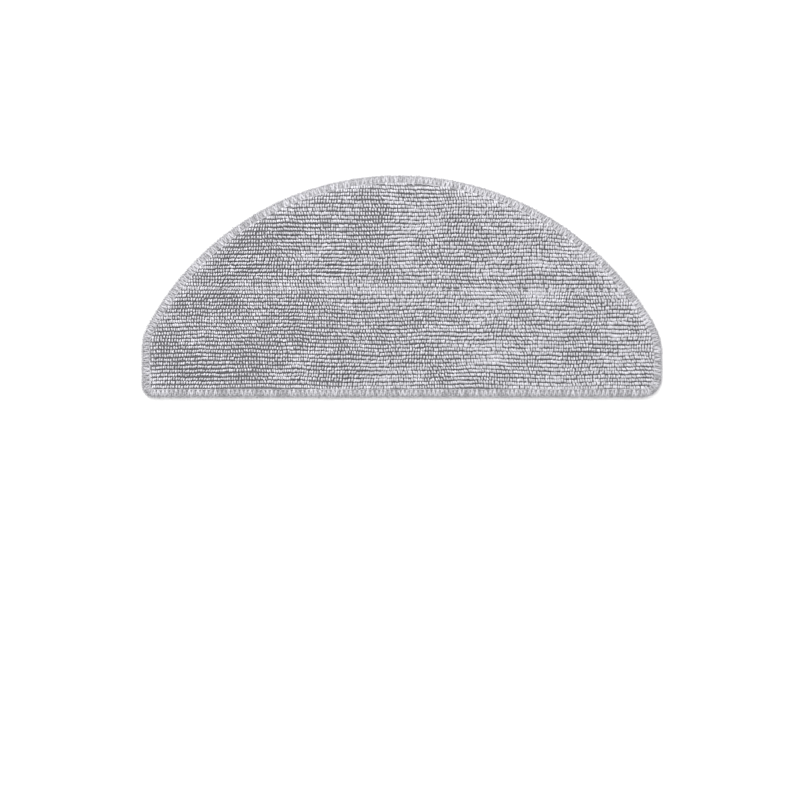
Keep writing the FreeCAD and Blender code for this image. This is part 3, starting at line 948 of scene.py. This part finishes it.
def make_overlock():
    """The overlock: a looper thread over each face of the rim, and the needle thread inside the border."""
    stitches = round(OUTLINE_LENGTH / OVERLOCK_PITCH)
    path = path_object("outline_path", outline(0.0, 900), True)
    tree = looper_tree()
    material = thread_material("overlock_yarn", dark=0.28, light=0.84)
    half = OVERLOCK_YARN / 2
    made = []
    for name, node, crest, phase, seed in (
        ("overlock_upper_thread", "upper_looper_thread", RIM_TOP - half * 0.9, 0.0, 11),
        ("overlock_lower_thread", "lower_looper_thread", half * 1.1, 0.5, 23),
    ):
        piece = grow(name, path, tree, {
            "Stitches": stitches,
            "Border": BORDER_WIDTH - 0.55 * MM,
            "Rim": half * 0.9,
            "Level At Rim": 1.6 * MM,
            "Level At Crest": crest,
            "Yarn Width": OVERLOCK_YARN,
            "Pairing": 0.3 * MM,
            "Phase": phase,
            "Seed": seed,
            "Material": material,
        })
        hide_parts(node)
        made.append(piece)
    needle = grow("overlock_needle_thread", path, running_stitch_tree(), {
        "Points": stitches * STITCH_STEPS,
        "Level On Cloth": 2.95 * MM,
        "Level In Hole": 2.3 * MM,
        "Yarn Width": 0.6 * MM,
        "Inset": BORDER_WIDTH - 0.7 * MM,
        "Seed": 31,
        "Material": material,
    })
    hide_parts("border_needle_thread")
    made.append(needle)
    fuzz = grow("overlock_fuzz", path, edge_fuzz_tree(), {
        "Fibres": 7600,
        "Length": 1.5 * MM,
        "Thickness": 0.12 * MM,
        "Inset": 0.5 * MM,
        "Lowest": 1.0 * MM,
        "Highest": 2.4 * MM,
        "Seed": 71,
        "Material": material,
    })
    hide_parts("upper_looper_thread")
    made.append(fuzz)
    bpy.data.objects.remove(path)
    for piece in made:
        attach(piece, "root")
    return made


def make_cross_seam():
    """The straight seam across the pad: a thread on the mopping side and one on the back."""
    tree = running_stitch_tree()
    material = thread_material("seam_yarn", dark=0.48, light=0.68)
    ends = [(x, SEAM_PLACE + SEAM_SLOPE * x) for x in (SEAM_FROM, SEAM_FROM + SEAM_STITCHES * SEAM_PITCH)]
    path = path_object("seam_path", ends, False)
    made = []
    for name, node, on, inside, seed in (
        ("seam_upper_thread", "seam_needle_thread", 3.3 * MM, 2.2 * MM, 51),
        ("seam_lower_thread", "seam_bobbin_thread", 0.36 * MM, 0.9 * MM, 57),
    ):
        piece = grow(name, path, tree, {
            "Points": SEAM_STITCHES * STITCH_STEPS + 1,
            "Level On Cloth": on,
            "Level In Hole": inside,
            "Yarn Width": SEAM_YARN,
            "Inset": 0.0,
            "Seed": seed,
            "Material": material,
        })
        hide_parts(node)
        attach(piece, "root")
        made.append(piece)
    bpy.data.objects.remove(path)
    return made


# Studio


def make_studio():
    """A white floor and sky, with a large softbox behind the pad and a weaker one in front of it."""
    corners = [(FLOOR_REACH * x, FLOOR_REACH * y, 0) for x, y in ((-1, -1), (1, -1), (1, 1), (-1, 1))]
    floor = new_object("floor", corners, (), [(0, 1, 2, 3)], floor_material())

    world = bpy.data.worlds.new("studio")
    bpy.context.scene.world = world
    world.use_nodes = True
    world.node_tree.nodes.clear()
    graph = Graph(world.node_tree)
    strength = 0.66 + seen_directly(graph) * 0.34
    sky = graph.add("ShaderNodeBackground", None, {"Color": WHITE, "Strength": strength})
    graph.add("ShaderNodeOutputWorld", None, {"Surface": sky})

    for name, place, size, power in (
        ("key_softbox", (-0.35, 0.95, 1.15), 0.7, 15.0),
        ("fill_softbox", (0.9, -0.3, 1.3), 1.0, 5.0),
    ):
        lamp = bpy.data.lights.new(name, "AREA")
        lamp.energy = power
        lamp.size = size
        holder = bpy.data.objects.new(name, lamp)
        holder.location = place
        holder.rotation_euler = Vector(place).to_track_quat("Z", "Y").to_euler()
        bpy.context.scene.collection.objects.link(holder)


def make_camera():
    """Straight above the pad, with the pad in the upper half of the square picture."""
    data = bpy.data.cameras.new("camera")
    data.lens = 85.0
    data.sensor_width = 36.0
    holder = bpy.data.objects.new("camera", data)
    away = PICTURE_PIXELS * PIXEL * data.lens / data.sensor_width
    holder.location = (*PICTURE_CENTRE, away + GROUND_TOP)
    bpy.context.scene.collection.objects.link(holder)
    bpy.context.scene.camera = holder


def main():
    """Builds the pad, the studio and the camera."""
    bpy.context.scene.view_settings.view_transform = "Standard"
    face, backing = make_cloths()
    pile = make_pile(face)
    overlock = make_overlock()
    seam = make_cross_seam()
    area = cut_area()
    make_studio()
    make_camera()


main()
